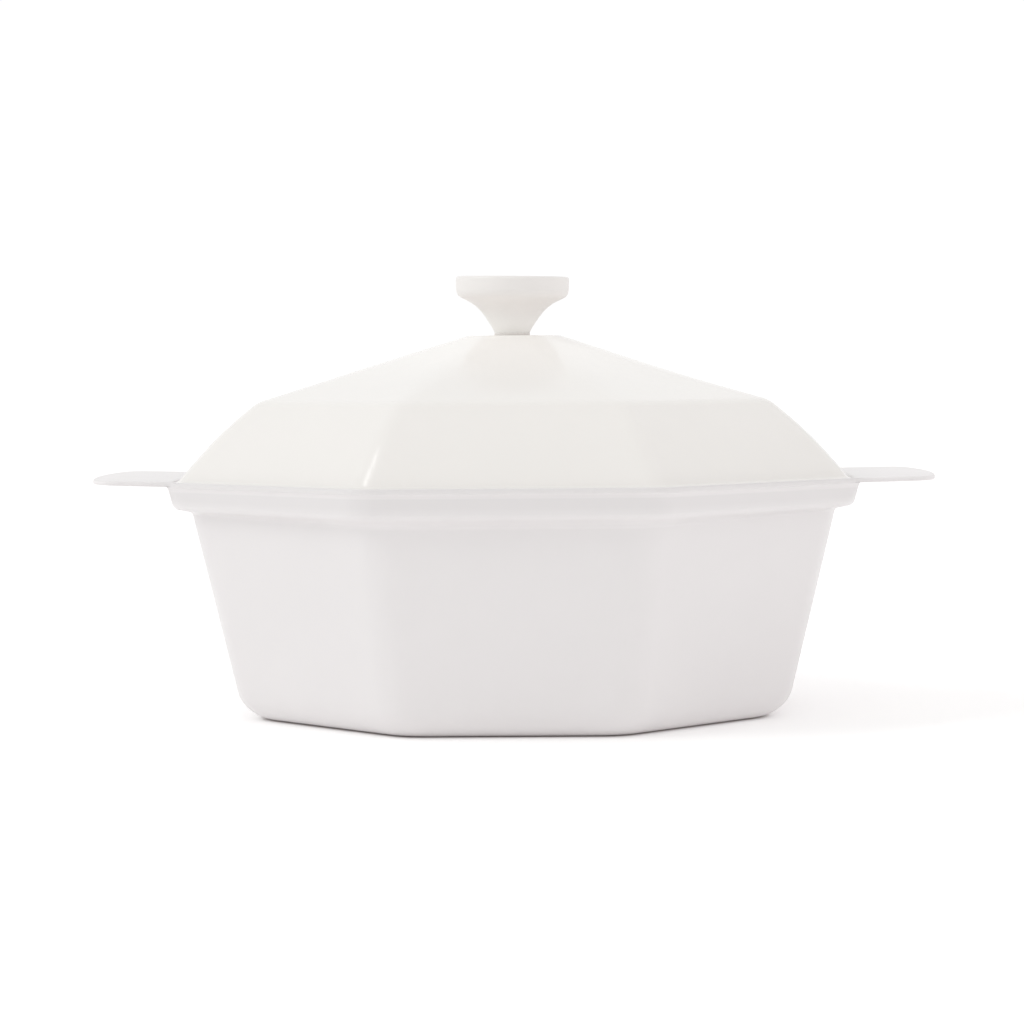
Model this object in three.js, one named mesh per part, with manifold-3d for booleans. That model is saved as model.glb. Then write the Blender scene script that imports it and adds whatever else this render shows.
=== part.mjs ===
// Covered octagonal casserole dish: enamelled steel pot with a recessed rim and two tab handles,
// and a lift-off faceted lid whose knob is held by a screw from below.
// Millimetres, +Z up. The origin is the centre of the flat base, on the surface the pot stands on.
// X runs from handle to handle, -Y is the front facet.

import * as THREE from "three";
import { mergeVertices } from "three/addons/utils/BufferGeometryUtils.js";
import Module from "manifold-3d";

// ---------- driving dimensions (mm) ----------
const SHEET = 1.75; // enamelled sheet thickness, pot and lid

// Pot. "Apothem" is the distance from the axis to a flat side of the octagon.
const WALL_APOTHEM_AT_FLOOR = 104.4; // the wall's plane carried down to z = 0
const WALL_DRAFT = 0.229; // apothem gained per mm of height
const WALL_CORNER_R = 18; // plan radius where two wall facets meet
const BASE_FILLET_R = 14.5; // rolled edge between wall and base
const BASE_PANEL_APOTHEM = 80; // the middle of the base is pressed up, so the pot stands on a ring
const BASE_PANEL_RISE = 0.8;
const BASE_PANEL_SLOPE = 2.5; // width of the slope round the panel
const STEP_Z = 80.5; // underside of the collar, where the wall steps out
const STEP_RISE = 0.18; // the underside rises by this much per mm outwards
const COLLAR_FILLET_R = 3.4;
const COLLAR_APOTHEM = 130.0; // collar face at COLLAR_REF_Z
const COLLAR_REF_Z = 83.9;
const COLLAR_DRAFT = 0.25;
const RIM_Z = 92.5; // top of the rim flange and of the handles
const RIM_T = 1.75; // thickness of the rim flange and of the handles
const RIM_APOTHEM = 132.4; // outer edge of the rim flange
const RIM_INNER_APOTHEM = 130.2;
const RIM_CORNER_R = 16;

// Handles: flat tabs continuing the rim flange, one on each end, bent up very slightly.
const HANDLE_TIP_X = 164.15;
const HANDLE_HALF_ROOT = 56.7;
const HANDLE_HALF_TIP = 54.4;
const HANDLE_TIP_R = 11.5;
const HANDLE_TIP_BOW = 3.1; // the tip edge is bowed outwards by this much
const HANDLE_RISE = 0.75; // the tip stands this much above the rim
const HANDLE_ROOT_R = 4; // concave blend between the rim's corner and the tab's side

// Lid. Apothem and height down one facet: shallow facet, crease, crowned steep facet, skirt.
const LID_TOP_APOTHEM = 18.6; // small flat under the knob
const LID_TOP_Z = 147.6;
const LID_SHALLOW = [
  [19.2, 147.36],
  [94.6, 123.3],
];
const LID_CREASE = [98.4, 121.72]; // softened crease between shallow and steep facets
const LID_STEEP = [
  [101.4, 119.5],
  [106.7, 114.95],
  [111.7, 110.35],
  [116.15, 105.8],
  [120.2, 101.25],
  [124.0, 96.9],
  [127.4, 92.7],
];
const LID_SKIRT = [
  [128.5, 91.25], // the edge rolls in below the rim
  [128.95, 90.5],
  [128.8, 89.7],
  [125.9, 83.15], // rests on the ledge inside the collar
];
const LID_CORNER_R = 9;
const LID_TOP_CORNER_R = 12;
const LID_HOLE_R = 2.9;

// Knob and its fastening
const KNOB_HEAD_R = 22.4;
const KNOB_TOP_Z = 171.2;
const KNOB_FOOT_R = 7.1;
const SPACER_Z = [147.8, 148.5];
const SPACER_R = [3.0, 7.1];
const KNOB_FOOT_Z = 148.7;
const INSERT_Z = [148.9, 160.9];
const INSERT_R = [2.7, 4.0];
const WASHER_Z = [144.6, 145.6];
const WASHER_R = [2.8, 7.0];
const LOCK_Z = [143.3, 144.4];
const LOCK_R = [2.8, 4.6];
const SCREW_SHAFT_R = 2.5;
const SCREW_TOP_Z = 159.6;
const SCREW_HEAD_R = 4.75;
const SCREW_HEAD_Z = [140.3, 143.1];

// Facets used for curved work
const ARC_STEPS = 4; // per octagon corner
const ROUND_STEPS = 32; // per turn on lathed pieces

// ---------- colours ----------
const ENAMEL_COOL = 0xe4e1e1;
const ENAMEL_WARM = 0xf0eeea;
const KNOB_WHITE = 0xe9e6e2;
const RUBBER_GREY = 0xc9c6c3;
const BRASS = 0xb89a5a;
const STEEL = 0xb9bbbd;

const material = (color, roughness, metalness) =>
  new THREE.MeshStandardMaterial({ color, roughness, metalness });

// ---------- small helpers ----------
const wasm = await Module();
wasm.setup();

// One outline point list of a rounded octagon: apothem a, corner radius r.
// Corners come in order, counter-clockwise seen from above, starting right of the front facet.
const COS = Math.cos(Math.PI / 8);
function octagon(a, r) {
  const round = Math.min(r, a);
  const spread = a - round < 1e-6 ? 0.8 : 1; // a full circle keeps its points apart
  const centre = (a - round) / COS;
  const out = [];
  for (let k = 0; k < 8; k++) {
    const corner = -Math.PI / 2 + Math.PI / 8 + (k * Math.PI) / 4;
    for (let i = 0; i <= ARC_STEPS; i++) {
      const t = corner + ((2 * i) / ARC_STEPS - 1) * (Math.PI / 8) * spread;
      out.push([
        centre * Math.cos(corner) + round * Math.cos(t),
        centre * Math.sin(corner) + round * Math.sin(t),
      ]);
    }
  }
  return out;
}

// A lathe whose every ring is a rounded octagon. profile = [apothem, z, corner radius] from bottom axis round to top axis, or closed.
function octagonalLathe(profile) {
  const columns = 8 * (ARC_STEPS + 1);
  const geometry = new THREE.LatheGeometry(
    profile.map(([a, z]) => new THREE.Vector2(a, z)),
    columns,
  );
  geometry.rotateX(Math.PI / 2);
  const position = geometry.getAttribute("position");
  const rings = profile.map(([a, , r]) => octagon(a, r ?? 0));
  for (let i = 0; i <= columns; i++)
    for (let j = 0; j < profile.length; j++) {
      const [x, y] = profile[j][0] === 0 ? [0, 0] : rings[j][i % columns];
      position.setXYZ(i * profile.length + j, x, y, profile[j][1]);
    }
  return geometry;
}

// A round lathe about the Z axis.
function roundLathe(profile, steps = ROUND_STEPS) {
  const geometry = new THREE.LatheGeometry(
    profile.map(([r, z]) => new THREE.Vector2(r, z)),
    steps,
  );
  geometry.rotateX(Math.PI / 2);
  return geometry;
}

// Points on an arc, angles in degrees from +a towards +z.
function arc(ca, cz, r, from, to, steps) {
  const out = [];
  for (let i = 0; i <= steps; i++) {
    const t = ((from + ((to - from) * i) / steps) * Math.PI) / 180;
    out.push([ca + r * Math.cos(t), cz + r * Math.sin(t)]);
  }
  return out;
}

// The profile moved by distance to its left, mitred at each point.
function offsetProfile(points, distance) {
  return points.map(([x, y], i) => {
    const normals = [];
    if (i > 0) normals.push(leftNormal(points[i - 1], points[i]));
    if (i < points.length - 1) normals.push(leftNormal(points[i], points[i + 1]));
    const nx = normals.reduce((s, n) => s + n[0], 0) / normals.length;
    const ny = normals.reduce((s, n) => s + n[1], 0) / normals.length;
    const l2 = nx * nx + ny * ny;
    return [x + (distance * nx) / l2, y + (distance * ny) / l2];
  });
}
function leftNormal(p, q) {
  const dx = q[0] - p[0],
    dy = q[1] - p[1],
    l = Math.hypot(dx, dy);
  return [-dy / l, dx / l];
}

function solid(geometry) {
  const bare = geometry.index ? geometry.toNonIndexed() : geometry.clone();
  bare.deleteAttribute("normal");
  bare.deleteAttribute("uv");
  const merged = mergeVertices(bare, 1e-4);
  return new wasm.Manifold(
    new wasm.Mesh({
      numProp: 3,
      vertProperties: merged.attributes.position.array,
      triVerts: new Uint32Array(merged.index.array),
    }),
  );
}

function geometryOf(manifold) {
  const mesh = manifold.getMesh();
  const n = mesh.numProp;
  const vertices = new Float32Array(mesh.numVert * 3);
  for (let i = 0; i < mesh.numVert; i++)
    vertices.set(mesh.vertProperties.subarray(i * n, i * n + 3), i * 3);
  const geometry = new THREE.BufferGeometry()
    .setAttribute("position", new THREE.BufferAttribute(vertices, 3))
    .setIndex(new THREE.BufferAttribute(mesh.triVerts, 1));
  geometry.computeVertexNormals();
  return geometry;
}

function part(name, geometry, mat) {
  const mesh = new THREE.Mesh(geometry, mat);
  mesh.name = name;
  return mesh;
}

// ---------- pot body ----------
const wallA = (z) => WALL_APOTHEM_AT_FLOOR + WALL_DRAFT * z;
const wallLean = Math.atan(WALL_DRAFT);
const wallLeanDeg = (wallLean * 180) / Math.PI;
const collarA = (z) => COLLAR_APOTHEM + COLLAR_DRAFT * (z - COLLAR_REF_Z);
const collarLean = Math.atan(COLLAR_DRAFT);
const collarLeanDeg = (collarLean * 180) / Math.PI;

// Centre of the base fillet: tangent to z = 0 and to the leaning wall.
const baseTangentZ = BASE_FILLET_R * (1 - Math.sin(wallLean));
const baseCentreA = wallA(baseTangentZ) - BASE_FILLET_R * Math.cos(wallLean);
// Centre of the collar's lower fillet: tangent to the rising underside and to the collar's face.
const stepLean = Math.atan(STEP_RISE);
const stepLeanDeg = (stepLean * 180) / Math.PI;
const stepZ = (a) => STEP_Z + STEP_RISE * (a - wallA(STEP_Z));
const faceA = collarA(0) - COLLAR_FILLET_R / Math.cos(collarLean);
const underZ = stepZ(0) + COLLAR_FILLET_R / Math.cos(stepLean);
const collarCentreA =
  (faceA + COLLAR_DRAFT * underZ) / (1 - COLLAR_DRAFT * STEP_RISE);
const collarCentreZ = underZ + STEP_RISE * collarCentreA;

const insideWallA = (z) => wallA(z) - SHEET / Math.cos(wallLean);
const insideCollarA = (z) => collarA(z) - SHEET / Math.cos(collarLean);

function potProfile() {
  const panel = [
    [0, BASE_PANEL_RISE, 0],
    [BASE_PANEL_APOTHEM - BASE_PANEL_SLOPE, BASE_PANEL_RISE, WALL_CORNER_R],
    [BASE_PANEL_APOTHEM, 0, WALL_CORNER_R],
  ];
  const outer = [
    ...panel,
    ...arc(baseCentreA, BASE_FILLET_R, BASE_FILLET_R, -90, -wallLeanDeg, 4).map(
      ([a, z], i) => [a, z, WALL_CORNER_R + 1 - i / 4],
    ),
    [wallA(STEP_Z - 1), STEP_Z - 1, WALL_CORNER_R],
    [wallA(STEP_Z) + 1, stepZ(wallA(STEP_Z) + 1), WALL_CORNER_R],
    ...arc(
      collarCentreA,
      collarCentreZ,
      COLLAR_FILLET_R,
      -90 + stepLeanDeg,
      -collarLeanDeg,
      3,
    ).map(([a, z]) => [a, z, RIM_CORNER_R]),
    [collarA(RIM_Z - RIM_T - 0.9), RIM_Z - RIM_T - 0.9, RIM_CORNER_R],
    [collarA(RIM_Z - RIM_T) + 0.15, RIM_Z - RIM_T, RIM_CORNER_R],
    [RIM_APOTHEM, RIM_Z - RIM_T, RIM_CORNER_R],
    [RIM_APOTHEM, RIM_Z, RIM_CORNER_R],
  ];
  const inR = WALL_CORNER_R - SHEET;
  const ledgeZ = (a) => stepZ(a) + SHEET / Math.cos(stepLean);
  const bendA = insideWallA(STEP_Z + SHEET);
  const inner = [
    [RIM_INNER_APOTHEM, RIM_Z, RIM_CORNER_R - 2.2],
    [insideCollarA(RIM_Z - 1.2), RIM_Z - 1.2, RIM_CORNER_R - 2.2],
    ...arc(
      collarCentreA,
      collarCentreZ,
      COLLAR_FILLET_R - SHEET,
      -collarLeanDeg,
      -90 + stepLeanDeg,
      2,
    ).map(([a, z]) => [a, z, RIM_CORNER_R - 2.2]),
    [bendA + 1.6, ledgeZ(bendA + 1.6), inR],
    [bendA + 0.35, ledgeZ(bendA) - 0.6, inR],
    [insideWallA(ledgeZ(bendA) - 2.2), ledgeZ(bendA) - 2.2, inR],
    ...arc(
      baseCentreA,
      BASE_FILLET_R,
      BASE_FILLET_R - SHEET,
      -wallLeanDeg,
      -90,
      4,
    ).map(([a, z]) => [a, z, inR]),
    ...panel.reverse().map(([a, z, r]) => [a, z + SHEET, r]),
  ];
  return [...outer, ...inner];
}

// One side of a tab in plan, on the +X end with y above 0: from inside the rim's corner, round the
// concave blend, along the side and round the tip's corner.
function handleSide() {
  const centre = [
    RIM_APOTHEM - RIM_CORNER_R,
    (RIM_APOTHEM - RIM_CORNER_R) * Math.tan(Math.PI / 8),
  ];
  const onCorner = (radius, degrees) => [
    centre[0] + radius * Math.cos((degrees * Math.PI) / 180),
    centre[1] + radius * Math.sin((degrees * Math.PI) / 180),
  ];
  const tip = HANDLE_TIP_X - HANDLE_TIP_BOW;
  const root = RIM_APOTHEM - 1;
  const slope = (HANDLE_HALF_TIP - HANDLE_HALF_ROOT) / (tip - root);
  const side = (x) => HANDLE_HALF_ROOT + slope * (x - root);
  // centre of the blend: HANDLE_ROOT_R off the side line and off the rim's corner
  const l = Math.hypot(1, slope);
  const [nx, ny] = [-slope / l, 1 / l];
  const b0 = [root + nx * HANDLE_ROOT_R, HANDLE_HALF_ROOT + ny * HANDLE_ROOT_R];
  const e = [b0[0] - centre[0], b0[1] - centre[1]];
  const along = (e[0] * 1 + e[1] * slope) / l;
  const reach = RIM_CORNER_R + HANDLE_ROOT_R;
  const s = -along + Math.sqrt(along ** 2 - (e[0] ** 2 + e[1] ** 2 - reach ** 2));
  const blend = [b0[0] + s / l, b0[1] + (s * slope) / l];
  const from = Math.atan2(centre[1] - blend[1], centre[0] - blend[0]) + 2 * Math.PI;
  const to = Math.atan2(-ny, -nx) + 2 * Math.PI;
  const leave = (Math.atan2(blend[1] - centre[1], blend[0] - centre[0]) * 180) / Math.PI;
  const points = [onCorner(15, 0), onCorner(15, leave / 3), onCorner(15, (2 * leave) / 3), onCorner(15, leave)];
  for (let i = 0; i <= 3; i++) {
    const t = from + ((to - from) * i) / 3;
    points.push([
      blend[0] + HANDLE_ROOT_R * Math.cos(t),
      blend[1] + HANDLE_ROOT_R * Math.sin(t),
    ]);
  }
  // tip corner: a curve that leaves along the side and arrives along the bowed tip edge
  const bowStart = HANDLE_HALF_TIP - HANDLE_TIP_R;
  const lean = (2 * HANDLE_TIP_BOW) / bowStart;
  const q0 = [tip - HANDLE_TIP_R, side(tip - HANDLE_TIP_R)];
  const q1x = tip - lean * (side(tip) - bowStart);
  const q1 = [q1x, side(q1x)];
  const q2 = [tip, bowStart];
  for (let i = 0; i <= 6; i++) {
    const t = i / 6;
    points.push([
      (1 - t) ** 2 * q0[0] + 2 * t * (1 - t) * q1[0] + t * t * q2[0],
      (1 - t) ** 2 * q0[1] + 2 * t * (1 - t) * q1[1] + t * t * q2[1],
    ]);
  }
  for (const t of [0.33, 0.67])
    points.push([tip + HANDLE_TIP_BOW * (1 - (1 - t) ** 2), bowStart * (1 - t)]);
  return points;
}

// A tab handle in plan, on the +X end. Its root lies inside the rim flange.
function handleShape() {
  const upper = handleSide();
  const lower = upper.map(([x, y]) => [x, -y]);
  const outline = [...lower, [HANDLE_TIP_X, 0], ...upper.slice().reverse()];
  return new THREE.Shape(outline.map(([x, y]) => new THREE.Vector2(x, y)));
}

function handleSolid() {
  const geometry = new THREE.ExtrudeGeometry(handleShape(), {
    depth: RIM_T,
    bevelEnabled: false,
  });
  geometry.translate(0, 0, RIM_Z - RIM_T);
  // bent up: a shear that starts at the rim
  const position = geometry.getAttribute("position");
  const root = RIM_APOTHEM - 1;
  const rise = HANDLE_RISE / (HANDLE_TIP_X - root);
  for (let i = 0; i < position.count; i++)
    position.setZ(i, position.getZ(i) + rise * (position.getX(i) - root));
  return solid(geometry);
}

function potGeometry() {
  const shell = solid(octagonalLathe(potProfile()));
  const right = handleSolid();
  const left = handleSolid().rotate([0, 0, 180]);
  return geometryOf(shell.add(right).add(left));
}

// ---------- lid ----------
// Outer line of the lid from the knob flat out to the skirt.
const lidOuterLine = () => [
  [LID_TOP_APOTHEM - 1.2, LID_TOP_Z],
  ...LID_SHALLOW,
  LID_CREASE,
  ...LID_STEEP,
  ...LID_SKIRT,
];

function lidCornerR(a) {
  const crease = LID_CREASE[0];
  if (a >= crease) return LID_CORNER_R;
  const t = (crease - a) / (crease - LID_TOP_APOTHEM);
  return LID_CORNER_R + (LID_TOP_CORNER_R - LID_CORNER_R) * Math.min(t, 1);
}

function lidGeometry() {
  const outer = lidOuterLine();
  const inner = offsetProfile(outer, -SHEET);
  // the inner line ends level with the skirt, and starts level with the knob flat
  const [skirtA, skirtZ] = outer[outer.length - 1];
  inner[0] = [inner[0][0], LID_TOP_Z - SHEET];
  inner[inner.length - 1] = [skirtA - SHEET, skirtZ];
  const line = [
    [LID_HOLE_R, LID_TOP_Z - SHEET, LID_HOLE_R],
    ...inner.map(([a, z]) => [a, z, Math.max(2, lidCornerR(a) - SHEET)]),
    ...outer
      .slice()
      .reverse()
      .map(([a, z]) => [a, z, lidCornerR(a)]),
    [LID_HOLE_R, LID_TOP_Z, LID_HOLE_R],
    [LID_HOLE_R, LID_TOP_Z - SHEET, LID_HOLE_R],
  ];
  return octagonalLathe(line);
}

// ---------- knob ----------
function knobGeometry() {
  const outside = [
    [KNOB_FOOT_R, KNOB_FOOT_Z],
    [7.95, 150.7],
    [8.95, 152.3],
    [10.0, 153.9],
    [11.1, 155.5],
    [12.4, 157.1],
    [13.9, 158.6],
    [15.7, 160.1],
    [17.6, 161.15],
    [19.4, 162.0],
    [21.0, 162.95],
    [22.0, 164.1],
    [KNOB_HEAD_R, 165.6],
    [KNOB_HEAD_R, 168.0],
    [KNOB_HEAD_R, 170.0],
    [KNOB_HEAD_R - 0.4, 170.8],
    [KNOB_HEAD_R - 1.3, KNOB_TOP_Z],
  ];
  return roundLathe([
    [0, INSERT_Z[1] + 0.3],
    [INSERT_R[1] + 0.25, INSERT_Z[1] + 0.3],
    [INSERT_R[1] + 0.25, KNOB_FOOT_Z],
    ...outside,
    [0, KNOB_TOP_Z],
  ]);
}

function insertGeometry() {
  const [bore, outer] = INSERT_R;
  const [z0, z1] = INSERT_Z;
  return roundLathe(
    [
      [bore, z0],
      [outer, z0],
      [outer, z0 + 4.6],
      [outer - 0.6, z0 + 5.2],
      [outer - 0.6, z0 + 6.8],
      [outer, z0 + 7.4],
      [outer, z1],
      [bore, z1],
      [bore, z0],
    ],
    20,
  );
}

const ring = ([r0, r1], [z0, z1], steps) =>
  roundLathe(
    [
      [r0, z0],
      [r1, z0],
      [r1, z1],
      [r0, z1],
      [r0, z0],
    ],
    steps,
  );

// Split spring washer: a flat ring with one slanted slit.
function lockWasherGeometry() {
  const [r0, r1] = LOCK_R;
  const gap = 0.16; // half angle of the slit, radians
  const shape = new THREE.Shape();
  shape.absarc(0, 0, r1, gap, 2 * Math.PI - gap, false);
  shape.absarc(0, 0, r0, 2 * Math.PI - gap, gap, true);
  shape.closePath();
  const geometry = new THREE.ExtrudeGeometry(shape, {
    depth: LOCK_Z[1] - LOCK_Z[0],
    bevelEnabled: false,
    curveSegments: 12,
  });
  geometry.translate(0, 0, LOCK_Z[0]);
  return geometry;
}

// Pan-head screw with a cross recess in its head, which faces down.
function screwGeometry() {
  const [z0, z1] = SCREW_HEAD_Z;
  const body = solid(
    roundLathe(
      [
        [0, z0],
        [2.6, z0 + 0.12],
        [4.1, z0 + 0.8],
        [SCREW_HEAD_R, z0 + 1.7],
        [SCREW_HEAD_R, z1],
        [SCREW_SHAFT_R, z1],
        [SCREW_SHAFT_R, SCREW_TOP_Z - 0.8],
        [SCREW_SHAFT_R - 0.8, SCREW_TOP_Z],
        [0, SCREW_TOP_Z],
      ],
      20,
    ),
  );
  const bar = (turn) => {
    const box = new THREE.BoxGeometry(4.6, 1.1, 3.0);
    box.rotateZ(turn);
    box.translate(0, 0, z0 + 0.1);
    return solid(box);
  };
  return geometryOf(body.subtract(bar(0).add(bar(Math.PI / 2))));
}

// ---------- assembly ----------
const casserole = new THREE.Group();

const pot = new THREE.Group();
pot.add(part("pot_body", potGeometry(), material(ENAMEL_COOL, 0.35, 0)));
casserole.add(pot);

const lid = new THREE.Group();
lid.add(part("lid_shell", lidGeometry(), material(ENAMEL_WARM, 0.32, 0)));
lid.add(part("lid_knob", knobGeometry(), material(KNOB_WHITE, 0.55, 0)));
lid.add(part("knob_insert", insertGeometry(), material(BRASS, 0.35, 1)));
lid.add(
  part("knob_spacer", ring(SPACER_R, SPACER_Z, 24), material(RUBBER_GREY, 0.8, 0)),
);
lid.add(part("lid_washer", ring(WASHER_R, WASHER_Z, 24), material(STEEL, 0.35, 1)));
lid.add(part("lock_washer", lockWasherGeometry(), material(STEEL, 0.35, 1)));
lid.add(part("knob_screw", screwGeometry(), material(STEEL, 0.3, 1)));
casserole.add(lid);

export default casserole;
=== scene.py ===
import math

import bmesh
import bpy
import numpy as np
from mathutils import Matrix, Vector


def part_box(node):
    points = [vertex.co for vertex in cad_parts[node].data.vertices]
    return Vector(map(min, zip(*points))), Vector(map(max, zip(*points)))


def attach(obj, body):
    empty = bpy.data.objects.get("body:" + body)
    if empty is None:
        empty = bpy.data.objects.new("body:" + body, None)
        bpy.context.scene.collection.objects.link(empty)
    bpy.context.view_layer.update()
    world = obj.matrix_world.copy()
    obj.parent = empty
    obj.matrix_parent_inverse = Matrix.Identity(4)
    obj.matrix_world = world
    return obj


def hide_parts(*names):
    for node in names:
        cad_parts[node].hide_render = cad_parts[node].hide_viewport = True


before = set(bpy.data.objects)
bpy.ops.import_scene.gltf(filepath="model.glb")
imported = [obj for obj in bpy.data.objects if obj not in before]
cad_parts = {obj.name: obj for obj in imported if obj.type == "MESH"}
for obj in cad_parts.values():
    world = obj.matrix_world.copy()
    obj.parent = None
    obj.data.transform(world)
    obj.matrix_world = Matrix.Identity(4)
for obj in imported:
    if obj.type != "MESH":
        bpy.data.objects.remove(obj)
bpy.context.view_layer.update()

MM = 0.001
scene = bpy.context.scene
scene.view_settings.view_transform = "Standard"
scene.view_settings.look = "None"
scene.view_settings.exposure = 0.0
scene.view_settings.gamma = 1.0

# ---------------------------------------------------------------- dimensions, mm
SHEET = 1.75
WALL_A0, WALL_DRAFT = 104.4, 0.229          # wall plane: apothem = A0 + draft * z
STEP_Z, STEP_RISE = 80.5, 0.18              # underside of the collar
FACE_A, FACE_Z, FACE_DRAFT = 130.0, 83.9, 0.25
RIM_Z, RIM_A = 92.5, 132.4
TIP_X, TIP_BOW, HALF_ROOT, HALF_TIP, TIP_R = 164.15, 3.1, 56.7, 54.4, 11.5
TAB_RISE, TAB_UNEVEN = 0.75, 0.2            # the tabs are bent up, one a touch more than the other
ROOT_R = 4.0                                # concave blend where a tab leaves the rim
CORNER_LIFT = 0.35                          # the collar's underside is drawn up at the corners

# the frame decides where the pieces are: the same heights, taken from the CAD boxes
pot_lo, pot_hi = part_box("pot_body")
lid_lo, lid_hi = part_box("lid_shell")
knob_lo, knob_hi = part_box("lid_knob")
RIM_Z = pot_hi.z / MM - TAB_RISE
TIP_X = pot_hi.x / MM
LID_TOP = lid_hi.z / MM
LID_LOW = lid_lo.z / MM
KNOB_FOOT = knob_lo.z / MM
KNOB_TOP = knob_hi.z / MM
KNOB_R = (knob_hi.x - knob_lo.x) / 2 / MM
spacer_lo, spacer_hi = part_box("knob_spacer")
insert_lo, insert_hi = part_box("knob_insert")
washer_lo, washer_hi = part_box("lid_washer")
lock_lo, lock_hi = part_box("lock_washer")
screw_lo, screw_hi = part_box("knob_screw")

COS = math.cos(math.pi / 8)
rad = math.radians


# ---------------------------------------------------------------- outlines
def fillet(p0, corner, p1, radius, steps):
    """Points on the arc of this radius that rounds the corner between p0 and p1."""
    p0, c, p1 = (np.array(p, float) for p in (p0, corner, p1))
    u = (p0 - c) / np.linalg.norm(p0 - c)
    v = (p1 - c) / np.linalg.norm(p1 - c)
    half = math.acos(max(-1, min(1, float(u @ v)))) / 2
    cut = radius / math.tan(half)
    m = (u + v) / np.linalg.norm(u + v)
    centre = c + m * (radius / math.sin(half))
    a, b = c + u * cut - centre, c + v * cut - centre
    whole = math.acos(max(-1, min(1, float(a @ b) / radius**2)))
    return [
        tuple(centre + (math.sin((1 - t) * whole) * a + math.sin(t * whole) * b) / math.sin(whole))
        for t in np.linspace(0, 1, steps + 1)
    ]


def rounded(points):
    """points: (a, z, extra, radius, steps). A radius of 0 keeps the point. Returns (a, z, extra)."""
    out = []
    for i, (a, z, extra, radius, steps) in enumerate(points):
        if radius == 0 or i in (0, len(points) - 1):
            out.append((a, z, extra))
            continue
        arc = fillet(points[i - 1][:2], (a, z), points[i + 1][:2], radius, steps)
        out += [(p[0], p[1], extra) for p in arc]
    return out


def smooth(points, per):
    """Catmull-Rom curve through the points, centripetal enough for these even steps."""
    pts = [np.array(p, float) for p in points]
    pts = [2 * pts[0] - pts[1]] + pts + [2 * pts[-1] - pts[-2]]
    out = []
    for i in range(1, len(pts) - 2):
        p0, p1, p2, p3 = pts[i - 1 : i + 3]
        d1 = np.linalg.norm(p2 - p1)
        d0, d2 = np.linalg.norm(p1 - p0), np.linalg.norm(p3 - p2)
        m1 = (p2 - p0) / (d0 + d1) * d1
        m2 = (p3 - p1) / (d1 + d2) * d1
        for t in np.linspace(0, 1, per, endpoint=False):
            h00, h10 = 2 * t**3 - 3 * t**2 + 1, t**3 - 2 * t**2 + t
            h01, h11 = -2 * t**3 + 3 * t**2, t**3 - t**2
            out.append(tuple(h00 * p1 + h10 * m1 + h01 * p2 + h11 * m2))
    out.append(tuple(pts[-2]))
    return out


def smoothstep(e0, e1, x):
    t = np.clip((np.asarray(x, float) - e0) / (e1 - e0), 0, 1)
    return t * t * (3 - 2 * t)


# ---------------------------------------------------------------- octagon columns
FLAT_T = (0.015, 0.06, 0.16, 0.33, 0.5, 0.67, 0.84, 0.94, 0.985)
ARC_N = 14


def facet_columns():
    """(corner, local angle in -1..1, None) on a corner or (facet, None, fraction) on a flat, counter-clockwise."""
    cols = []
    for k in range(8):
        cols += [("arc", k, t) for t in np.linspace(-1, 1, ARC_N + 1)]
        cols += [("flat", k, t) for t in FLAT_T]
    return cols


def place(col, a, r):
    kind, k, t = col
    centre = (a - r) / COS
    phi = -math.pi / 2 + math.pi / 8 + k * math.pi / 4
    if kind == "arc":
        w = phi + t * math.pi / 8
        return (centre * math.cos(phi) + r * math.cos(w), centre * math.sin(phi) + r * math.sin(w))
    p = place(("arc", k, 1), a, r)
    q = place(("arc", (k + 1) % 8, -1), a, r)
    return (p[0] + (q[0] - p[0]) * t, p[1] + (q[1] - p[1]) * t)


def ring(cols, a, r):
    return np.array([place(c, a, r) for c in cols])


# ---------------------------------------------------------------- meshes
def make(name, verts, faces, material, body, stands_for=(), attributes=None, origin=None):
    mesh = bpy.data.meshes.new(name)
    mesh.from_pydata([tuple(float(c) * MM for c in v) for v in verts], [], faces)
    if attributes:
        for key, values in attributes.items():
            layer = mesh.attributes.new(key, "FLOAT", "POINT")
            layer.data.foreach_set("value", np.asarray(values, np.float32))
    bm = bmesh.new()
    bm.from_mesh(mesh)
    bmesh.ops.recalc_face_normals(bm, faces=bm.faces[:])
    bm.to_mesh(mesh)
    bm.free()
    mesh.polygons.foreach_set("use_smooth", [True] * len(mesh.polygons))
    mesh.materials.append(material)
    obj = bpy.data.objects.new(name, mesh)
    scene.collection.objects.link(obj)
    if stands_for:
        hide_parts(*stands_for)
    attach(obj, body)
    return obj


def loft(rings, closed=False, start=None, end=None):
    """rings: equal-length lists of 3-D points. start and end are centre points that close an open loft."""
    n = len(rings[0])
    verts = [tuple(p) for r in rings for p in r]
    faces = []
    rows = len(rings)
    for j in range(rows if closed else rows - 1):
        j2 = (j + 1) % rows
        for i in range(n):
            i2 = (i + 1) % n
            faces.append((j * n + i, j * n + i2, j2 * n + i2, j2 * n + i))
    if start is not None:
        verts.append(tuple(start))
        c = len(verts) - 1
        faces += [(c, (i + 1) % n, i) for i in range(n)]
    if end is not None:
        verts.append(tuple(end))
        c = len(verts) - 1
        b = (rows - 1) * n
        faces += [(c, b + i, b + (i + 1) % n) for i in range(n)]
    return verts, faces


def lathe(profile, steps, centre=(0.0, 0.0), tilt=None, start=False, end=False, closed=False):
    """Round piece about the Z axis. profile: (r, z)."""
    ang = np.linspace(0, 2 * math.pi, steps, endpoint=False)
    rings = [np.stack([r * np.cos(ang), r * np.sin(ang), np.full(steps, z)], 1) for r, z in profile]
    s = (0, 0, profile[0][1]) if start else None
    e = (0, 0, profile[-1][1]) if end else None
    verts, faces = loft(rings, closed=closed, start=s, end=e)
    return lean(verts, tilt, centre), faces


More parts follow.
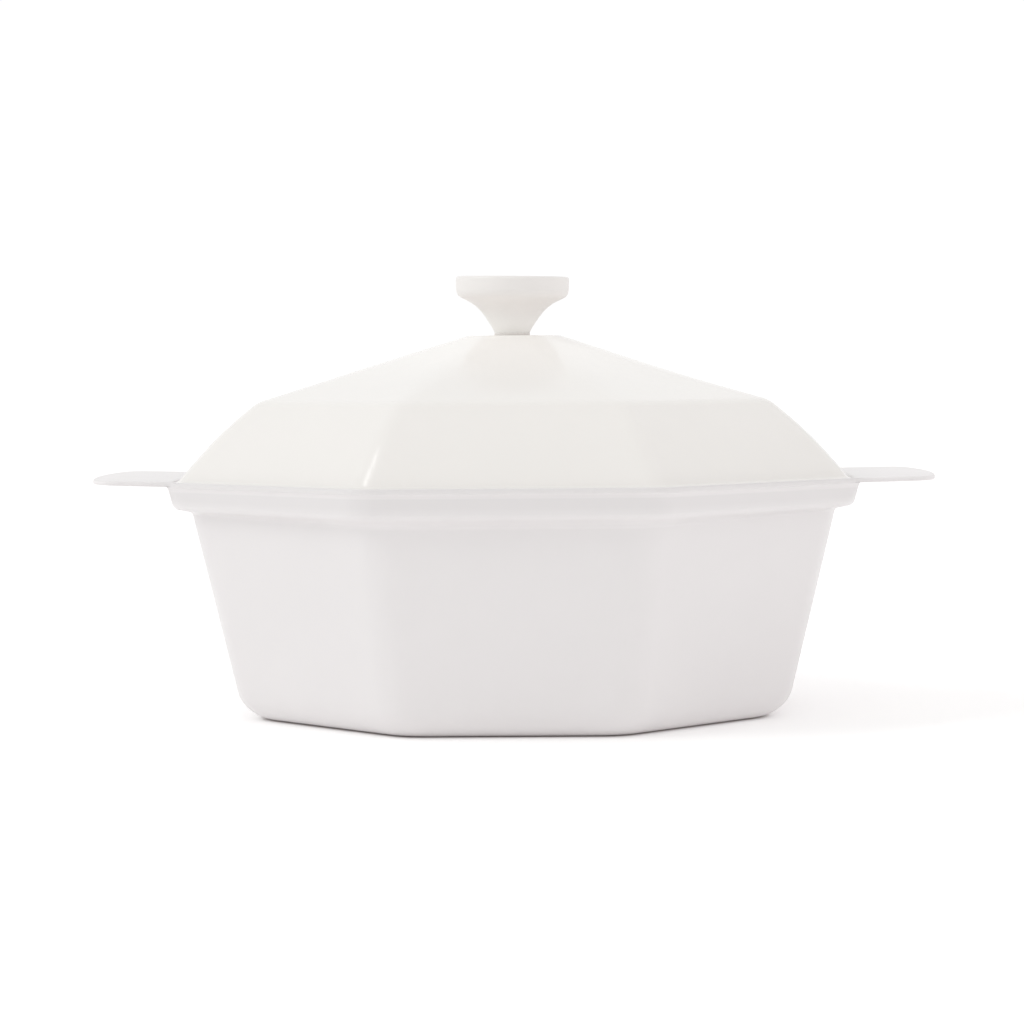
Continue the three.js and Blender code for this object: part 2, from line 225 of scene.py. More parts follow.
def lean(verts, tilt, centre):
    """tilt: (angle towards +X, angle towards +Y, pivot z). Then moved sideways by centre."""
    v = np.array(verts, float)
    if tilt:
        a, b, z0 = tilt
        for axis, t in ((0, a), (1, b)):
            s, z = v[:, axis].copy(), v[:, 2] - z0
            v[:, axis] = s * math.cos(t) + z * math.sin(t)
            v[:, 2] = -s * math.sin(t) + z * math.cos(t) + z0
    v[:, 0] += centre[0]
    v[:, 1] += centre[1]
    return [tuple(p) for p in v]


# ---------------------------------------------------------------- materials
class Nodes:
    def __init__(self, name):
        self.material = bpy.data.materials.new(name)
        self.material.use_nodes = True
        self.tree = self.material.node_tree
        self.tree.nodes.clear()
        self.out = self.tree.nodes.new("ShaderNodeOutputMaterial")
        self.bsdf = self.tree.nodes.new("ShaderNodeBsdfPrincipled")
        self.tree.links.new(self.bsdf.outputs[0], self.out.inputs["Surface"])
        self.co = self.tree.nodes.new("ShaderNodeTexCoord").outputs["Object"]

    def link(self, a, b):
        self.tree.links.new(a, b)

    def noise(self, scale, detail=3.0, rough=0.55, stretch=None):
        n = self.tree.nodes.new("ShaderNodeTexNoise")
        n.inputs["Scale"].default_value = scale
        n.inputs["Detail"].default_value = detail
        n.inputs["Roughness"].default_value = rough
        if stretch:
            m = self.tree.nodes.new("ShaderNodeMapping")
            m.inputs["Scale"].default_value = stretch
            self.link(self.co, m.inputs["Vector"])
            self.link(m.outputs[0], n.inputs["Vector"])
        else:
            self.link(self.co, n.inputs["Vector"])
        return n.outputs[0]

    def voronoi(self, scale, feature="F1"):
        n = self.tree.nodes.new("ShaderNodeTexVoronoi")
        n.feature = feature
        n.inputs["Scale"].default_value = scale
        self.link(self.co, n.inputs["Vector"])
        return n.outputs["Distance"]

    def attribute(self, name):
        n = self.tree.nodes.new("ShaderNodeAttribute")
        n.attribute_name = name
        return n.outputs["Fac"]

    def span(self, value, lo, hi, out_lo=0.0, out_hi=1.0):
        n = self.tree.nodes.new("ShaderNodeMapRange")
        n.inputs["From Min"].default_value = lo
        n.inputs["From Max"].default_value = hi
        n.inputs["To Min"].default_value = out_lo
        n.inputs["To Max"].default_value = out_hi
        n.clamp = True
        self.link(value, n.inputs["Value"])
        return n.outputs[0]

    def math(self, op, a, b):
        n = self.tree.nodes.new("ShaderNodeMath")
        n.operation = op
        for i, v in enumerate((a, b)):
            if isinstance(v, (int, float)):
                n.inputs[i].default_value = v
            else:
                self.link(v, n.inputs[i])
        return n.outputs[0]

    def mix(self, fac, a, b):
        n = self.tree.nodes.new("ShaderNodeMix")
        n.data_type = "RGBA"
        self.link(fac, n.inputs[0])
        for i, v in ((6, a), (7, b)):
            if isinstance(v, tuple):
                n.inputs[i].default_value = (*v, 1.0)
            else:
                self.link(v, n.inputs[i])
        return n.outputs[2]

    def bump(self, height, distance, strength=1.0, previous=None):
        n = self.tree.nodes.new("ShaderNodeBump")
        n.inputs["Strength"].default_value = strength
        n.inputs["Distance"].default_value = distance
        self.link(height, n.inputs["Height"])
        if previous is not None:
            self.link(previous, n.inputs["Normal"])
        return n.outputs[0]


def enamel(name, base, thin, tone_and_painted_light, rough, edge_rough):
    """Sprayed and fired enamel: slow colour drift, fine orange peel, pin-head specks, thinner coat on edges, painted
    shade on the collar and painted light on the tabs and round the knob.
    """
    m = Nodes(name)
    m.bsdf.inputs["IOR"].default_value = 1.5
    drift = m.span(m.noise(16.0, 2.0), 0.32, 0.68)
    colour = m.mix(drift, base, tone_and_painted_light)
    cloud = m.span(m.noise(95.0, 4.0, 0.6), 0.3, 0.75, 0.0, 0.35)
    colour = m.mix(cloud, colour, tuple(c * 0.975 for c in base))
    specks = m.span(m.voronoi(620.0), 0.0, 0.09, 1.0, 0.0)
    gate = m.span(m.noise(300.0, 1.0), 0.60, 0.66)
    colour = m.mix(m.math("MULTIPLY", m.math("MULTIPLY", specks, gate), 0.16), colour, (0.42, 0.40, 0.37))
    # the coat pulls away from sharp edges and lets a little of the ground coat show
    edge = m.attribute("edge")
    broken = m.span(m.noise(420.0, 3.0, 0.6), 0.30, 0.72, 0.45, 1.0)
    worn = m.math("MULTIPLY", edge, broken)
    colour = m.mix(m.math("MULTIPLY", worn, 0.55), colour, thin)
    # painted shade: darker on the collar's face below the flange and along the flange's edge
    colour = m.mix(m.attribute("painted_shade"), colour, tuple(c * 0.93 for c in base))
    # painted light: lighter on the tabs' tops, and on the lid round the knob and towards the front
    colour = m.mix(m.attribute("tone_and_painted_light"), colour, tuple(c * 1.08 for c in base))
    m.link(colour, m.bsdf.inputs["Base Color"])
    # rubbed places: where the pot stands, and where the lid and the ledge meet
    rubbed = m.attribute("rub")
    scuff = m.span(m.noise(160.0, 4.0, 0.65, (1.0, 5.0, 1.0)), 0.42, 0.62)
    roughness = m.span(m.noise(48.0, 4.0, 0.6), 0.3, 0.7, rough - 0.035, rough + 0.045)
    roughness = m.math("ADD", roughness, m.math("MULTIPLY", worn, edge_rough))
    roughness = m.math("ADD", roughness, m.math("MULTIPLY", m.math("MULTIPLY", rubbed, scuff), 0.22))
    m.link(roughness, m.bsdf.inputs["Roughness"])
    peel = m.bump(m.noise(330.0, 2.0, 0.5), 0.000012, 0.7)
    waves = m.bump(m.noise(38.0, 2.0, 0.5), 0.00004, 0.3, peel)
    fine = m.bump(m.noise(1500.0, 2.0, 0.6), 0.000006, 0.6, waves)
    m.link(fine, m.bsdf.inputs["Normal"])
    return m.material


def moulded(name, base, other, rough):
    """Matte thermoset: faint flow mottling, fine pitted skin, slightly polished on the edges by hands, painted shade
    round the head and painted light down the stem.
    """
    m = Nodes(name)
    m.bsdf.inputs["IOR"].default_value = 1.5
    drift = m.span(m.noise(60.0, 3.0), 0.3, 0.7)
    colour = m.mix(drift, base, other)
    grain = m.span(m.noise(900.0, 3.0, 0.6), 0.35, 0.7, 0.0, 0.5)
    colour = m.mix(grain, colour, tuple(c * 0.965 for c in base))
    edge = m.attribute("edge")
    colour = m.mix(m.math("MULTIPLY", edge, 0.25), colour, tuple(min(1, c * 1.03) for c in base))
    # painted shade round the head's band, painted light down the stem
    colour = m.mix(m.attribute("painted_head_shade"), colour, tuple(c * 0.93 for c in base))
    colour = m.mix(m.attribute("painted_stem_light"), colour, tuple(min(0.96, c * 1.08) for c in base))
    m.link(colour, m.bsdf.inputs["Base Color"])
    roughness = m.span(m.noise(140.0, 3.0), 0.3, 0.7, rough - 0.05, rough + 0.05)
    roughness = m.math("SUBTRACT", roughness, m.math("MULTIPLY", edge, 0.08))
    m.link(roughness, m.bsdf.inputs["Roughness"])
    skin = m.bump(m.noise(1400.0, 2.0, 0.6), 0.00001, 0.7)
    slow = m.bump(m.noise(90.0, 2.0), 0.00005, 0.4, skin)
    m.link(slow, m.bsdf.inputs["Normal"])
    return m.material


def metal(name, base, dull, rough, axis_scale):
    """Turned or brushed metal: fine tool lines round the axis, dulled patches, brighter rubbed edges."""
    m = Nodes(name)
    m.bsdf.inputs["Metallic"].default_value = 1.0
    patch = m.span(m.noise(260.0, 4.0, 0.6), 0.35, 0.7)
    colour = m.mix(patch, base, dull)
    edge = m.attribute("edge")
    colour = m.mix(m.math("MULTIPLY", edge, 0.5), colour, tuple(min(1, c * 1.18) for c in base))
    m.link(colour, m.bsdf.inputs["Base Color"])
    lines = m.noise(700.0, 3.0, 0.6, axis_scale)
    m.link(m.span(lines, 0.3, 0.7, rough - 0.07, rough + 0.09), m.bsdf.inputs["Roughness"])
    m.link(m.bump(lines, 0.00001, 0.6), m.bsdf.inputs["Normal"])
    return m.material


def silicone(name, base, other):
    m = Nodes(name)
    m.bsdf.inputs["IOR"].default_value = 1.41
    dust = m.span(m.noise(700.0, 4.0, 0.65), 0.35, 0.7)
    m.link(m.mix(dust, base, other), m.bsdf.inputs["Base Color"])
    m.link(m.span(m.noise(220.0, 3.0), 0.3, 0.7, 0.62, 0.78), m.bsdf.inputs["Roughness"])
    m.link(m.bump(m.noise(900.0, 2.0), 0.00002, 0.7), m.bsdf.inputs["Normal"])
    return m.material


POT_WHITE = (0.778, 0.753, 0.754)
LID_WHITE = (0.858, 0.832, 0.805)
KNOB_WHITE = (0.905, 0.876, 0.857)
pot_enamel = enamel("pot_enamel", POT_WHITE, (0.70, 0.672, 0.668), tuple(c * 0.985 for c in POT_WHITE), 0.36, 0.06)
lid_enamel = enamel("lid_enamel", LID_WHITE, (0.775, 0.75, 0.72), tuple(c * 0.985 for c in LID_WHITE), 0.17, 0.06)
knob_plastic = moulded("knob_plastic", KNOB_WHITE, tuple(c * 0.975 for c in KNOB_WHITE), 0.50)
brass = metal("insert_brass", (0.70, 0.51, 0.24), (0.52, 0.37, 0.17), 0.30, (1.0, 1.0, 6.0))
steel = metal("plain_steel", (0.60, 0.60, 0.61), (0.46, 0.46, 0.47), 0.30, (1.0, 1.0, 8.0))
spacer_rubber = silicone("spacer_silicone", (0.86, 0.83, 0.80), (0.90, 0.87, 0.84))


# ---------------------------------------------------------------- pot
def tab_half_path():
    """The edge of one tab in plan, from where it leaves the rim's corner to the middle of the tip, y falling to 0."""
    r = 16.0
    c = np.array([RIM_A - r, (RIM_A - r) * math.tan(math.pi / 8)])
    tip = TIP_X - TIP_BOW
    p0 = np.array([RIM_A - 1.0, HALF_ROOT])
    p1 = p0 + (np.array([tip, HALF_TIP]) - p0) * ((tip - TIP_R - p0[0]) / (tip - p0[0]))
    d = (p1 - p0) / np.linalg.norm(p1 - p0)
    n = np.array([-d[1], d[0]])
    if n[1] < 0:
        n = -n
    # centre of the concave blend: ROOT_R from the side line and r + ROOT_R from the corner's centre
    base = p0 + n * ROOT_R
    e = base - c
    b, q = float(e @ d), float(e @ e) - (r + ROOT_R) ** 2
    s = -b + math.sqrt(b * b - q)
    f = base + d * s
    start = math.atan2(c[1] - f[1], c[0] - f[0])
    stop = math.atan2(-n[1], -n[0])
    if stop < start:
        stop += 2 * math.pi
    root = [(f[0] + ROOT_R * math.cos(t), f[1] + ROOT_R * math.sin(t)) for t in np.linspace(start, stop, 8)]
    angle = math.atan2(f[1] - c[1], f[0] - c[0])  # where the blend leaves the corner's arc
    side = [tuple(np.array(root[-1]) + (p1 - np.array(root[-1])) * t) for t in (0.2, 0.5, 0.8)]
    q2 = np.array([tip, HALF_TIP - TIP_R])
    meet = tip - 2 * TIP_BOW / q2[1] * (HALF_TIP - q2[1])
    q0, q1 = p1, p0 + d * ((meet - p0[0]) / d[0])
    corner = [tuple((1 - t) ** 2 * q0 + 2 * t * (1 - t) * q1 + t * t * q2) for t in np.linspace(0, 1, 20)]
    b0, b1, b2 = q2, np.array([tip + 2 * TIP_BOW, 0.0]), np.array([tip, -(HALF_TIP - TIP_R)])
    bow = [tuple((1 - t) ** 2 * b0 + 2 * t * (1 - t) * b1 + t * t * b2) for t in np.linspace(0, 0.5, 9)[1:]]
    return root + side + corner + bow, angle


tab_half, tab_angle = tab_half_path()
tab_full = np.array(tab_half + [(x, -y) for x, y in tab_half[-2::-1]])[::-1]  # from -y to +y on the +X end
steps_ = np.linalg.norm(np.diff(tab_full, axis=0), axis=1)
tab_frac = np.concatenate([[0], np.cumsum(steps_)])
tab_frac /= tab_frac[-1]
TAB_N = len(tab_full)
tab_local = tab_angle / (math.pi / 8) - 1  # the leaving angle, as a place on the corner's -1..1


def pot_columns():
    """Corner arcs and flats as on a plain octagon, but the two ends carry the columns of the tab outline."""
    cols = []
    for k in range(8):
        lo, hi = -1.0, 1.0
        if k in (2, 6):
            lo = tab_local
        if k in (1, 5):
            hi = -tab_local
        arc = list(np.linspace(lo, hi, ARC_N + 1 if hi - lo > 1.99 else 8))
        if k in (2, 6):
            arc = arc[1:]
        if k in (1, 5):
            arc = arc[:-1]
        cols += [("arc", k, t) for t in arc]
        if k in (1, 5):
            cols += [("tab", k, i) for i in range(TAB_N)]
        else:
            cols += [("flat", k, t) for t in FLAT_T]
    return cols


POT_COLS = pot_columns()


def pot_ring(a, r):
    r = min(r, 0.8 * a)
    out = []
    for col in POT_COLS:
        kind, k, t = col
        if kind != "tab":
            out.append(place(col, a, r))
            continue
        # along the end facet: leftover of corner k, the flat, leftover of corner k + 1
        rest = (1 + tab_local) * math.pi / 8 * 16.0
        flat = 2 * (RIM_A - 16.0) * math.tan(math.pi / 8)
        whole = 2 * rest + flat
        s = tab_frac[t] * whole
        if s < rest:
            out.append(place(("arc", k, -tab_local + (1 + tab_local) * s / rest), a, r))
        elif s <= rest + flat:
            out.append(place(("flat", k, (s - rest) / flat), a, r))
        else:
            out.append(place(("arc", (k + 1) % 8, -1 + (1 + tab_local) * (s - rest - flat) / rest), a, r))
    return np.array(out)


def pot_outline(inset):
    """The rim's edge with both tabs, moved inwards by inset."""
    base = []
    plain = pot_ring(RIM_A, 16.0)
    for i, (kind, k, t) in enumerate(POT_COLS):
        if kind == "tab":
            x, y = tab_full[t]
            base.append((x, y) if k == 1 else (-x, -y))
        else:
            base.append(tuple(plain[i]))
    base = np.array(base)
    before, after = np.roll(base, 1, 0), np.roll(base, -1, 0)
    d0 = base - before
    d1 = after - base
    d0 /= np.maximum(np.linalg.norm(d0, axis=1, keepdims=True), 1e-9)
    d1 /= np.maximum(np.linalg.norm(d1, axis=1, keepdims=True), 1e-9)
    t = d0 + d1
    t /= np.linalg.norm(t, axis=1, keepdims=True)
    left = np.stack([-t[:, 1], t[:, 0]], 1)  # counter-clockwise outline: left is inwards
    return base + left * np.reshape(inset, (-1, 1))


on_tab = np.array([1.0 if c[0] == "tab" else 0.0 for c in POT_COLS])
# soft change from plain rim to tab over the root blend
tab_weight = on_tab.copy()
for i, c in enumerate(POT_COLS):
    if c[0] == "tab":
        j = min(c[2], TAB_N - 1 - c[2])
        tab_weight[i] = float(smoothstep(-0.5, 7, j))

# how near each column is to a corner, for the drawn-up underside
ref = pot_ring(128.0, 16.0)
corner_weight = np.zeros(len(POT_COLS))
deep_weight = np.ones(len(POT_COLS))  # away from the tabs the underside is pressed deeper where it meets the wall
for k in (1, 2, 5, 6):
    mid = np.array(place(("arc", k, 0.0), 128.0, 16.0))
    away = np.linalg.norm(ref - mid, axis=1)
    corner_weight = np.maximum(corner_weight, np.exp(-((away / 6.0) ** 2)))
    deep_weight = np.minimum(deep_weight, np.clip((away - 4.0) / 96.0, 0, 1))
deep_weight = deep_weight * (1 - on_tab)

wall_a = lambda z: WALL_A0 + WALL_DRAFT * z
step_z = lambda a: STEP_Z + STEP_RISE * (a - wall_a(STEP_Z))
face_a = lambda z: FACE_A + FACE_DRAFT * (z - FACE_Z)
WALL_IN = SHEET * math.sqrt(1 + WALL_DRAFT**2)
FACE_IN = SHEET * math.sqrt(1 + FACE_DRAFT**2)
STEP_IN = SHEET * math.sqrt(1 + STEP_RISE**2)
# where the underside meets the collar's face
ku = STEP_Z - STEP_RISE * wall_a(STEP_Z)
toe_a = (FACE_A + FACE_DRAFT * (ku - FACE_Z)) / (1 - FACE_DRAFT * STEP_RISE)
toe_z = ku + STEP_RISE * toe_a
# the same corner and the wall's top on the inside
ki = ku + STEP_IN
toe_ia = (FACE_A + FACE_DRAFT * (ki - FACE_Z) - FACE_IN) / (1 - FACE_DRAFT * STEP_RISE)
toe_iz = ki + STEP_RISE * toe_ia
top_ia = (WALL_A0 - WALL_IN + WALL_DRAFT * ki) / (1 - WALL_DRAFT * STEP_RISE)
top_iz = ki + STEP_RISE * top_ia

pot_rings, pot_edge, pot_rub, pot_painted_shade = [], [], [], []


def add_row(xy, z, edge=0.0, rub=0.0, painted_shade=0.0):
    z = np.broadcast_to(z, (len(xy),))
    pot_rings.append(np.column_stack([xy, z]))
    pot_edge.append(np.broadcast_to(edge, (len(xy),)))
    pot_rub.append(np.broadcast_to(rub, (len(xy),)))
    pot_painted_shade.append(np.broadcast_to(painted_shade, (len(xy),)))


def profile_rows(points, radius_of, lift=False, rub_of=None, edge_of=None, painted_shade_of=None, deep=None):
    for i, (a, z, _) in enumerate(points):
        dz = 0.0
        if lift:
            up = float(smoothstep(72.0, 81.0, z) * (1 - smoothstep(84.0, 88.5, z)))
            dz = CORNER_LIFT * up * corner_weight
        xy, zz = pot_ring(a, radius_of(a, z)), z + dz
        if deep is not None:
            a2, z2, _ = deep[i]
            w = deep_weight
            xy = xy * (1 - w[:, None]) + pot_ring(a2, radius_of(a2, z2)) * w[:, None]
            zz = zz * (1 - w) + z2 * w
        add_row(
            xy,
            zz,
            edge_of(a, z) if edge_of else 0.0,
            rub_of(a, z) if rub_of else 0.0,
            painted_shade_of(a, z) if painted_shade_of else 0.0,
        )


def outer_line(step, toe_a, toe_z, blend):
    rise = (toe_z - step) / (toe_a - wall_a(step))
    return rounded(
        [
            (8.0, 0.8, 0, 0, 0),
            (30.0, 0.8, 0, 0, 0),
            (58.0, 0.8, 0, 0, 0),
            (74.0, 0.8, 0, 0, 0),
            (77.8, 0.8, 0, 2.5, 5),
            (80.4, 0.0, 0, 2.5, 5),
            (84.5, 0.0, 0, 0, 0),
            (88.7, 0.0, 0, 0, 0),
            (WALL_A0, 0.0, 0, 14.5, 18),
            (wall_a(13.0), 13.0, 0, 0, 0),
            (wall_a(17.0), 17.0, 0, 0, 0),
            (wall_a(26.0), 26.0, 0, 0, 0),
            (wall_a(40.0), 40.0, 0, 0, 0),
            (wall_a(54.0), 54.0, 0, 0, 0),
            (wall_a(66.0), 66.0, 0, 0, 0),
            (wall_a(73.0), 73.0, 0, 0, 0),
            (wall_a(76.0), 76.0, 0, 0, 0),
            (wall_a(step), step, 0, blend, 8),
            (125.4, step + rise * (125.4 - wall_a(step)), 0, 0, 0),
            (toe_a, toe_z, 0, 3.4, 12),
            (face_a(85.6), 85.6, 0, 0, 0),
            (face_a(87.4), 87.4, 0, 0, 0),
            (face_a(88.6), 88.6, 0, 0, 0),
        ]
    )


outer = outer_line(STEP_Z, toe_a, toe_z, 1.7)
outer_deep = outer_line(STEP_Z - 2.1, toe_a - 0.05, toe_z - 0.25, 2.8)


def outer_radius(a, z):
    if z < 1.5 and a < 90:
        return 18.0
    r = 19.0 - 1.0 * float(smoothstep(0, 14, z))
    return r - 2.0 * float(smoothstep(79.0, 81.5, z))


profile_rows(
    outer,
    outer_radius,
    lift=True,
    rub_of=lambda a, z: float(1 - smoothstep(0.05, 0.6, z)) if a > 79 else 0.0,
    # painted shade: the collar's face below the flange is darkened
    painted_shade_of=lambda a, z: float(smoothstep(83.3, 84.6, z)) if a > 127 else 0.0,
    deep=outer_deep,
)

# rim flange and tabs: (plain apothem, plain z) on the rim, (tab inset or apothem, tab z) on the tabs, edge
T = RIM_Z
FLANGE = [
    ((face_a(89.2) + 0.03, 89.20), ("a", face_a(89.2) + 0.03, 89.20), 0.0),
    ((face_a(89.6) + 0.04, 89.68), ("a", face_a(89.6) + 0.08, 89.65), 0.0),
    ((131.64, 90.08), ("a", 131.70, 90.10), 0.0),
    ((131.88, 90.36), ("a", 131.95, 90.47), 0.1),
    ((132.16, 90.52), ("a", 132.35, 90.68), 0.3),
    ((132.33, 90.66), ("a", 133.0, T - 1.75), 0.7),
    ((132.39, 90.90), ("in", 0.62, T - 1.745), 1.0),
    ((132.40, 91.35), ("in", 0.33, T - 1.66), 1.0),
    ((132.40, 91.60), ("in", 0.10, T - 1.42), 1.0),
    ((132.40, 91.85), ("in", 0.0, T - 0.875), 1.0),
    ((132.33, 92.10), ("in", 0.10, T - 0.33), 1.0),
    ((132.18, 92.32), ("in", 0.33, T - 0.09), 1.0),
    ((131.93, T - 0.05), ("in", 0.62, T - 0.005), 0.8),
    ((131.62, T), ("a", 132.0, T), 0.2),
]
for (pa, pz), (how, value, tz), edge in FLANGE:
    plain = pot_ring(pa, 16.0)
    tabs = pot_ring(value, 16.0) if how == "a" else pot_outline(value * tab_weight + (RIM_A - pa) * (1 - tab_weight))
    w = tab_weight[:, None]
    if how == "in":
        # off the root blend both shapes follow the same rim
        xy = np.where(on_tab[:, None] > 0, tabs, plain)
    else:
        xy = plain * (1 - w) + tabs * w
    # the blend's own columns always follow the outline, so that it stays round
    z = pz * (1 - tab_weight) + tz * tab_weight
    out = np.maximum(np.abs(xy[:, 0]) - (RIM_A - 1.0), 0.0) * on_tab
    z = z + out * (TAB_RISE - TAB_UNEVEN * np.sign(xy[:, 0])) / (TIP_X - RIM_A + 1.0)
    flat_edge = edge * np.where(on_tab > 0, 1.0, 0.85)
    if how == "a":
        flat_edge = np.where(on_tab > 0, 0.0, flat_edge)
    # the flange's edge rows get painted shade as well, 0.4 of their edge value
    add_row(xy, z, flat_edge, 0.0, 0.4 * edge)

inner = rounded(
    [
        (131.2, RIM_Z, 0, 0, 0),
        (face_a(RIM_Z) - FACE_IN - 0.3, RIM_Z, 0, 0.9, 7),
        (129.08, 91.15, 0, 0.6, 4),
        (face_a(88.9) - FACE_IN, 88.9, 0, 0, 0),
        (face_a(86.5) - FACE_IN, 86.5, 0, 0, 0),
        (toe_ia, toe_iz, 0, 1.65, 8),
        (124.2, ki + STEP_RISE * 124.2, 0, 0, 0),
        (top_ia, top_iz, 0, 3.3, 10),
        (wall_a(75.0) - WALL_IN, 75.0, 0, 0, 0),
        (wall_a(64.0) - WALL_IN, 64.0, 0, 0, 0),
        (wall_a(48.0) - WALL_IN, 48.0, 0, 0, 0),
        (wall_a(32.0) - WALL_IN, 32.0, 0, 0, 0),
        (wall_a(20.0) - WALL_IN, 20.0, 0, 0, 0),
        (wall_a(SHEET) - WALL_IN, SHEET, 0, 12.75, 16),
        (86.0, SHEET, 0, 0, 0),
        (81.0, SHEET, 0, 2.5, 5),
        (78.4, SHEET + 0.8, 0, 2.5, 5),
        (72.0, SHEET + 0.8, 0, 0, 0),
        (54.0, SHEET + 0.8, 0, 0, 0),
        (30.0, SHEET + 0.8, 0, 0, 0),
        (8.0, SHEET + 0.8, 0, 0, 0),
    ]
)


def inner_radius(a, z):
    if z < 3.0 and a < 88:
        return 18.0
    return 16.3 - 2.4 * float(smoothstep(80.5, 83.0, z)) if z > 20 else 17.3 - float(smoothstep(0, 20, z))


inner = [(a, z, e) for a, z, e in inner]
profile_rows(
    inner,
    inner_radius,
    rub_of=lambda a, z: 1.0 if (a > 122 and z < 85) else (0.35 if z < 3.0 else 0.0),
    edge_of=lambda a, z: 0.8 if (a > 129.6 and z > 91.3) else 0.0,
)
verts, faces = loft(pot_rings, start=(0, 0, 0.8), end=(0, 0, SHEET + 0.8))
edge_values = np.concatenate([*pot_edge, [0.0, 0.0]])
rub_values = np.concatenate([*pot_rub, [0.0, 0.35]])
painted_shade_values = np.concatenate([*pot_painted_shade, [0.0, 0.0]])
heights = np.array([v[2] for v in verts])
reach = np.abs(np.array([v[0] for v in verts]))
# painted light: the tabs are lightened, their top faces most
painted_light_values = 0.75 * smoothstep(RIM_A - 4, RIM_A + 4, reach) * (0.5 + 0.5 * (heights > RIM_Z - 0.2))
pot = make(
    "pot_shell", verts, faces, pot_enamel, "pot", ["pot_body"],
    {"edge": edge_values, "rub": rub_values, "painted_shade": painted_shade_values, "tone_and_painted_light": painted_light_values},
)

# ---------------------------------------------------------------- lid
LID_COLS = facet_columns()
shallow = [(19.2, 147.36), (31.5, 143.40), (50.6, 137.22), (69.66, 131.12), (89.7, 124.88)]
steep = [(101.4, 119.5), (106.7, 114.95), (111.7, 110.35), (116.15, 105.8), (120.2, 101.25), (124.0, 96.9), (127.2, 92.95)]


def line_meet(p, q, r, s):
    (x1, y1), (x2, y2), (x3, y3), (x4, y4) = p, q, r, s
    d = (x1 - x2) * (y3 - y4) - (y1 - y2) * (x3 - x4)
    a, b = x1 * y2 - y1 * x2, x3 * y4 - y3 * x4
    return ((a * (x3 - x4) - (x1 - x2) * b) / d, (a * (y3 - y4) - (y1 - y2) * b) / d)


crease = line_meet(shallow[-2], shallow[-1], steep[0], steep[1])
top_corner = line_meet((0, LID_TOP), (1, LID_TOP), shallow[0], shallow[1])
lid_outer = fillet((0.0, LID_TOP), top_corner, shallow[1], 5.0, 5)
lid_outer += smooth([lid_outer[-1]] + shallow[1:], 4)[1:-1]
lid_outer += fillet(shallow[-1], crease, steep[0], 14.0, 10)
lid_outer += smooth(steep, 4)[1:]
lid_outer += [(127.75, 92.6), (128.2, 92.45), (128.52, 92.3), (128.7, 92.02), (128.72, 91.65), (128.66, 91.2), (128.58, 90.4)]
lid_outer += [(128.42, 89.5), (127.9, 87.7), (127.1, 85.6), (126.5, 84.38), (126.15, 83.68)]
lid_outer = [tuple(float(c) for c in p) for p in lid_outer]


def offset(points, distance):
    """Moved to the right of its direction, mitred."""
    p = np.array(points, float)
    d = np.diff(p, axis=0)
    n = np.stack([d[:, 1], -d[:, 0]], 1) / np.linalg.norm(d, axis=1, keepdims=True)
    m = np.vstack([n[:1], n[:-1] + n[1:], n[-1:]])
    m[1:-1] /= 2
    return p + distance * m / (m * m).sum(1, keepdims=True)


def without_loops(points, reach=16):
    """Cuts out the small loops that an offset makes inside tight bends."""
    points, i = [tuple(map(float, p)) for p in points], 0
    while i < len(points) - 3:
        for j in range(min(len(points) - 2, i + reach), i + 1, -1):
            (ax, az), (bx, bz), (cx, cz), (dx, dz) = points[i], points[i + 1], points[j], points[j + 1]
            across = (bx - ax) * (dz - cz) - (bz - az) * (dx - cx)
            if abs(across) < 1e-12:
                continue
            u = ((cx - ax) * (dz - cz) - (cz - az) * (dx - cx)) / across
            v = ((cx - ax) * (bz - az) - (cz - az) * (bx - ax)) / across
            if 0 < u < 1 and 0 < v < 1:
                points[i + 1:j + 1] = [(ax + u * (bx - ax), az + u * (bz - az))]
                break
        i += 1
    return points


lid_inner = without_loops(offset(lid_outer, SHEET))
bottom = LID_LOW
foot = [
    (125.33 + 0.875 * math.cos(rad(t)), bottom + 0.885 + 0.875 * math.sin(rad(t)))
    for t in (-48, -72, -96, -120, -144, -168, -186)
]
lid_line = lid_outer + foot + lid_inner[::-1]


def lid_radius(a, outside):
    if a > 98:
        r = 8.0 + 4.5 * float(smoothstep(100.0, 128.0, a))
    else:
        t = (98.4 - a) / (98.4 - 18.6)
        r = 8.0 + 9.0 * math.sin(min(1.0, max(0.0, t)) * math.pi * 0.72)
    return max(2.0, min(r - (0 if outside else SHEET), a * 0.8))


lid_rings, lid_edge, lid_rub = [], [], []
n_out = len(lid_outer)
for i, (a, z) in enumerate(lid_line):
    outside = i < n_out + 2
    xy = ring(LID_COLS, a, lid_radius(a, outside))
    # the shallow facets on the right are pressed a hair flatter than those on the left
    side = xy[:, 0] / max(a, 1.0)
    sag = math.sin(math.pi * min(1.0, max(0.0, (a - 24.0) / 74.0))) * (0.5 * smoothstep(0.1, 0.9, side) - 0.28 * smoothstep(0.1, 0.9, -side))
    lid_rings.append(np.column_stack([xy, z - sag]))
    on_edge = 1.0 if bottom - 0.1 < z < bottom + 0.6 else (0.3 if outside and 90.6 < z < 92.1 else 0.0)
    lid_edge.append(np.full(len(LID_COLS), on_edge))
    lid_rub.append(np.full(len(LID_COLS), 0.4 * float(1 - smoothstep(84.0, 88.5, z))))


def disc_rings(template, radii, z, hole):
    """From the octagonal edge of the small flat to the round hole."""
    xy = template[:, :2]
    length = np.linalg.norm(xy, axis=1, keepdims=True)
    unit = xy / length
    size = length.mean()
    out = []
    for r in radii:
        m = float(smoothstep(size * 0.85, hole * 1.5, r))
        flat = (xy / length.mean() * r) * (1 - m) + unit * r * m
        flat[:, 0] += FASTEN_X * float(1 - smoothstep(3.3, 11.0, r))
        out.append(np.column_stack([flat, np.full(len(xy), z)]))
    return out


